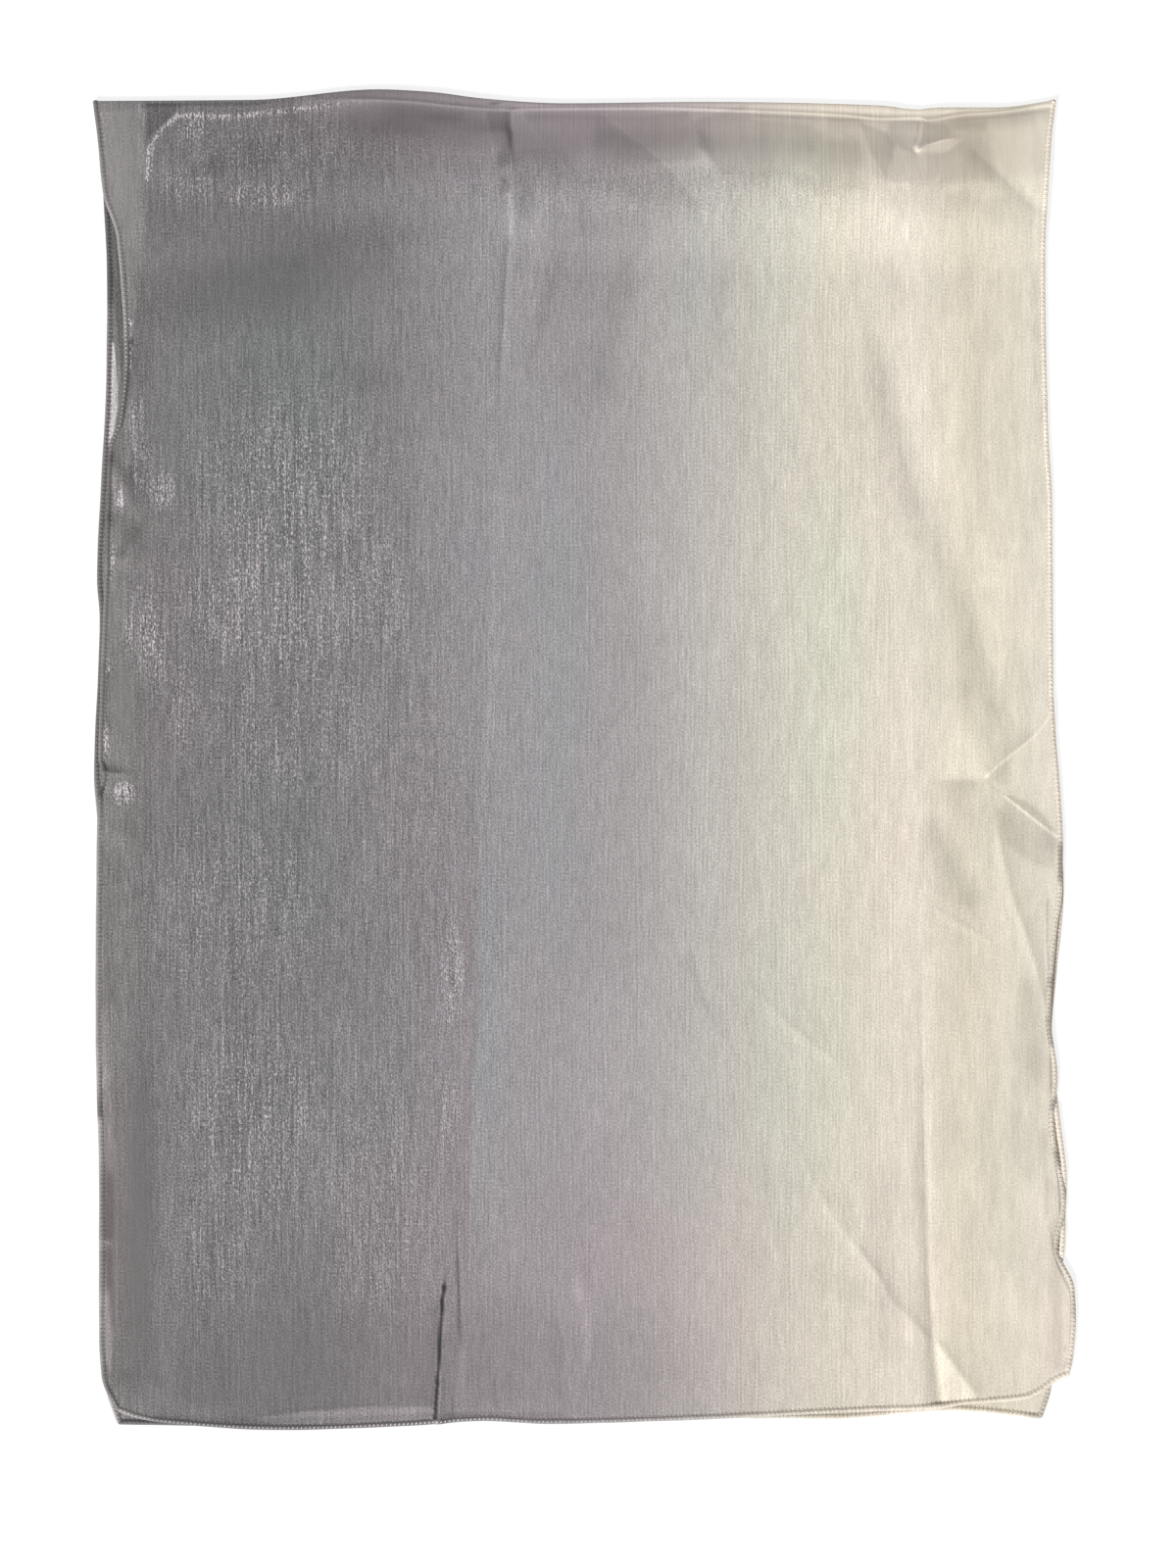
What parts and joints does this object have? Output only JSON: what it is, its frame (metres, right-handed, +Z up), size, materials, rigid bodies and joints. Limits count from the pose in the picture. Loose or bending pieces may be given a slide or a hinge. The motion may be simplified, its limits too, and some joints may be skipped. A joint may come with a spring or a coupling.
{
  "type": "folded hijab scarf",
  "caption": "Sheer rectangular hijab in grey-to-cream ombre cloth with rolled hems, folded in half and laid flat.",
  "frame": {"origin": "under the middle of the folded cloth, on the plane it lies on", "axes": "+X across the cloth to the right, +Y along it towards the fold, +Z up off the plane"},
  "size_m": [0.7154, 0.9764, 0.0116],
  "materials": {
    "ombre_cloth": "sheer, satiny slub weave with a fine metallic glint, shaded from mid grey at the left edge to cream at the right",
    "rolled_hem": "the same cloth rolled twice and sewn with fine matching thread, so darker and denser"
  },
  "bodies": {
    "root": {"front_panel": "ombre_cloth", "top_fold": "ombre_cloth", "back_panel": "ombre_cloth", "left_hem": "rolled_hem", "right_hem": "rolled_hem", "front_end_hem": "rolled_hem", "back_end_hem": "rolled_hem"}
  },
  "joints": []
}
